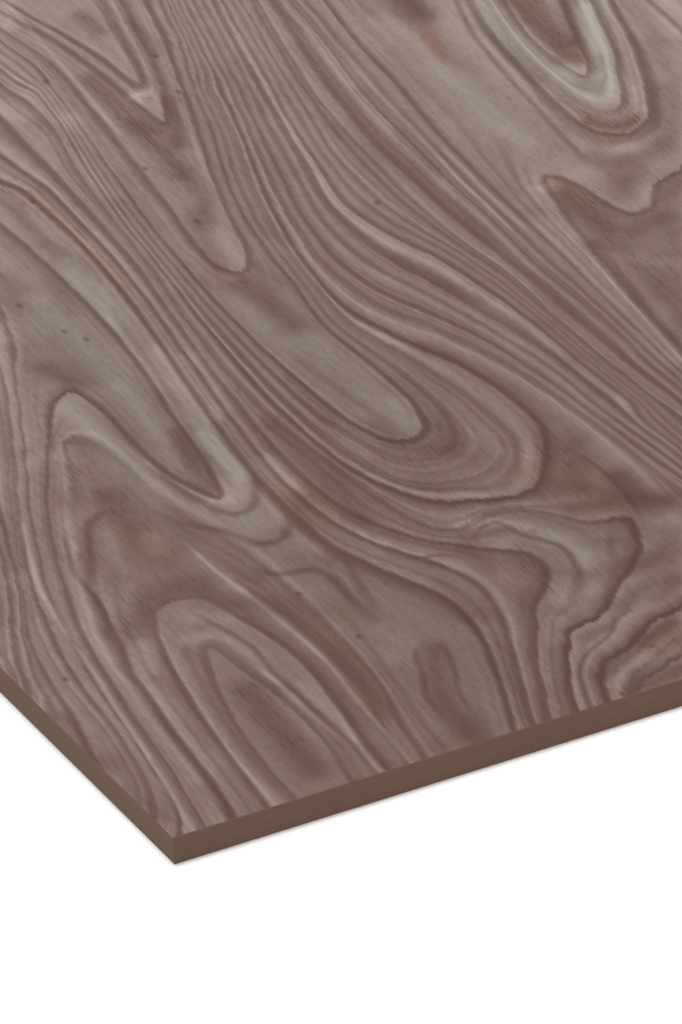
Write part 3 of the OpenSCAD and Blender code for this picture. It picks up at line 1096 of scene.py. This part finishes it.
def seen_directly(nodes):
    """1 for rays that show the background itself, 0 for rays that light the object."""
    path = nodes.new("ShaderNodeLightPath")
    total = path.outputs["Is Camera Ray"]
    for name in ("Is Glossy Ray", "Is Transmission Ray"):
        add = nodes.new("ShaderNodeMath")
        add.operation = "MAXIMUM"
        add.id_data.links.new(total, add.inputs[0])
        add.id_data.links.new(path.outputs[name], add.inputs[1])
        total = add.outputs[0]
    return total


def floor_white():
    """White with a faint grain. A little glow for the camera makes it white and leaves the shadow."""
    n = Nodes("studio_floor")
    matte = n.add("ShaderNodeBsdfDiffuse")
    n.feed(matte.inputs["Color"], n.ramp(n.noise(FLOOR_GRAIN), (0.0, 1.0), FLOOR_WHITES))
    glow = n.add("ShaderNodeEmission")
    lift = n.math("MULTIPLY_ADD", seen_directly(n.tree.nodes), FLOOR_LIFT - FLOOR_BOUNCE, FLOOR_BOUNCE)
    n.feed(glow.inputs["Strength"], lift)
    both = n.add("ShaderNodeAddShader")
    n.feed(both.inputs[0], matte.outputs[0])
    n.feed(both.inputs[1], glow.outputs[0])
    n.show(both)
    return n.material


def make_floor():
    """Wide white floor under the sheet."""
    half = FLOOR_SIZE / 2
    mesh = bpy.data.meshes.new("studio_floor")
    base = LOW.z * MM
    corners = [(-half, -half, base), (half, -half, base), (half, half, base), (-half, half, base)]
    mesh.from_pydata(corners, [], [(0, 1, 2, 3)])
    mesh.materials.append(floor_white())
    floor = bpy.data.objects.new("studio_floor", mesh)
    bpy.context.scene.collection.objects.link(floor)


def make_world():
    """White where it is seen, an even soft light elsewhere."""
    world = bpy.data.worlds.new("studio")
    world.use_nodes = True
    nodes = world.node_tree.nodes
    links = world.node_tree.links
    back = nodes["Background"]
    strength = nodes.new("ShaderNodeMapRange")
    strength.inputs[3].default_value = WORLD_LIGHT
    strength.inputs[4].default_value = WORLD_SEEN
    links.new(seen_directly(nodes), strength.inputs[0])
    links.new(strength.outputs[0], back.inputs["Strength"])
    back.inputs["Color"].default_value = (1, 1, 1, 1)
    bpy.context.scene.world = world


def make_key_light():
    """Soft light from nearly overhead, which leaves a narrow shadow along the edges."""
    lamp = bpy.data.lights.new("key", "SUN")
    lamp.energy = KEY_SHARE * math.pi
    lamp.angle = math.radians(KEY_ANGLE)
    key = bpy.data.objects.new("key", lamp)
    key.rotation_euler = Vector(KEY_FROM).to_track_quat("Z", "Y").to_euler()
    bpy.context.scene.collection.objects.link(key)


def make_camera():
    """Long lens at the photograph's angle."""
    camera = bpy.data.cameras.new("photo_camera")
    camera.lens = LENS
    camera.sensor_width = SENSOR
    camera.clip_start = CLIP_START
    camera.clip_end = CLIP_END
    view = bpy.data.objects.new("photo_camera", camera)
    turn = Matrix((RIGHT, UP, BACK)).transposed()
    view.matrix_world = Matrix.Translation(EYE * MM) @ turn.to_4x4()
    bpy.context.scene.collection.objects.link(view)
    bpy.context.scene.camera = view


bpy.context.scene.view_settings.view_transform = "Standard"
make_camera()
make_world()
make_key_light()
make_floor()

sheet = make_sheet()
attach(sheet, "root")
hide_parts("veneer_sheet")
